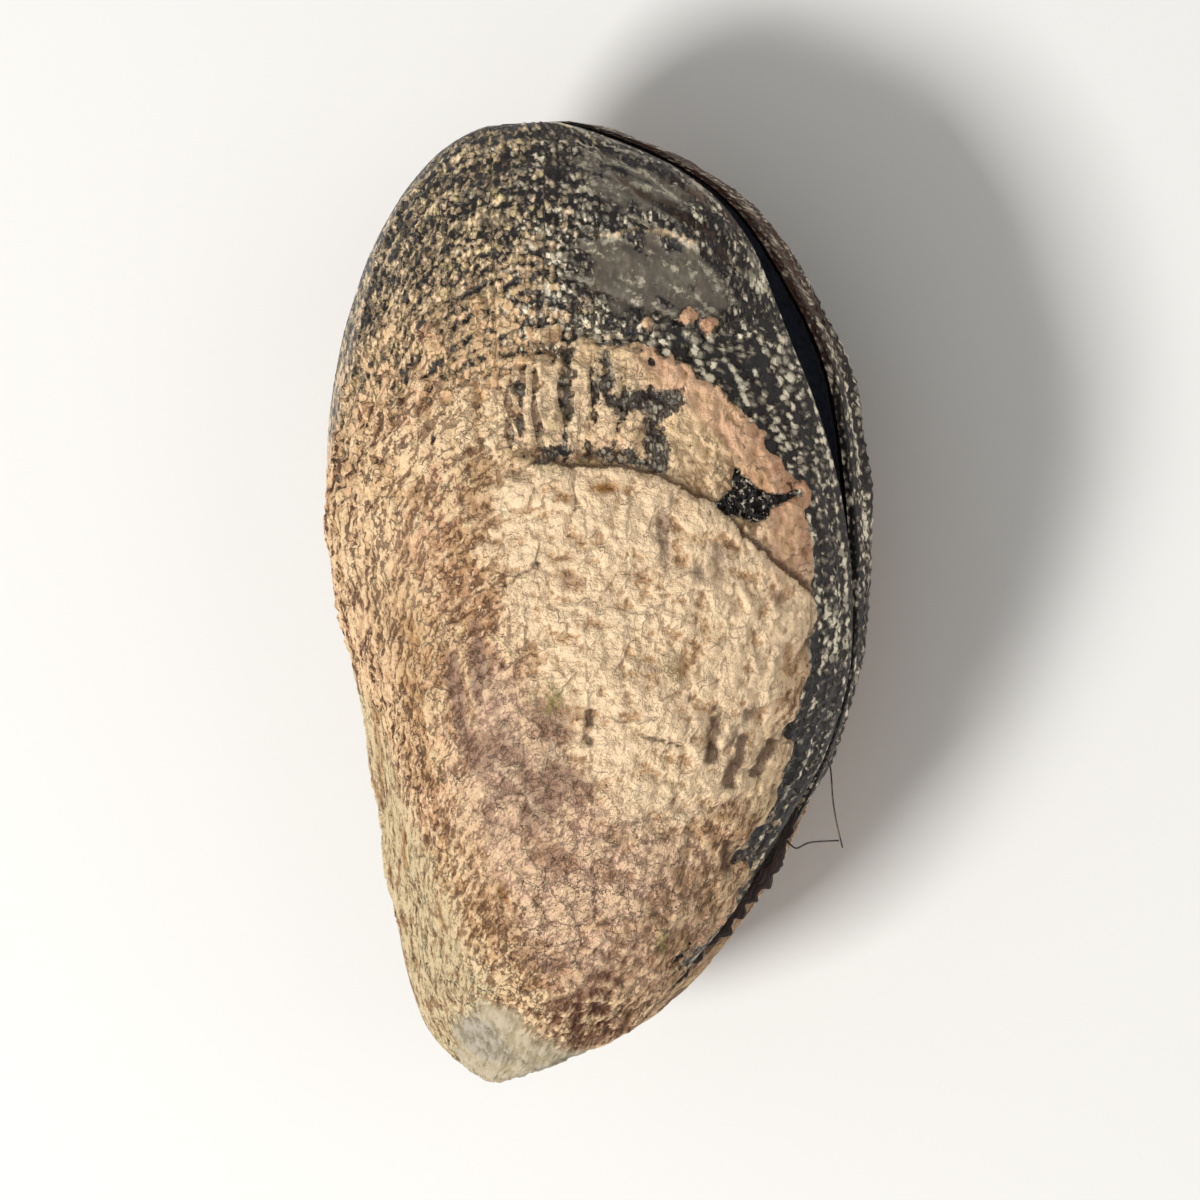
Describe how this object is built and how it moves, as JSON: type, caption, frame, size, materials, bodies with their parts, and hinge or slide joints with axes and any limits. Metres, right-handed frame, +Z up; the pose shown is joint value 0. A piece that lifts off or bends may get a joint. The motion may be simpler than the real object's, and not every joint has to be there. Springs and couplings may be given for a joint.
{
  "type": "mussel shell",
  "caption": "Empty, dried ribbed mussel shell with its valves still joined by the ligament, grown over with pink crust; a natural find for shore scenes and sea life sets.",
  "frame": {"origin": "on the surface the shell lies on, under the middle of its outline", "axes": "+Z up, through both valves; +Y along the shell, from the umbo to the broad hind end; +X towards the hinge side"},
  "size_m": [0.0282, 0.0482, 0.0222],
  "materials": {
    "crusted shell": "rough pink-beige crust over black ribbed shell",
    "dark shell": "matt black ribbed shell with grey and beige nodules",
    "horn": "dull dark brown, dried"
  },
  "bodies": {
    "root": {"right_valve": "crusted shell", "left_valve": "dark shell", "ligament": "horn"}
  },
  "joints": []
}
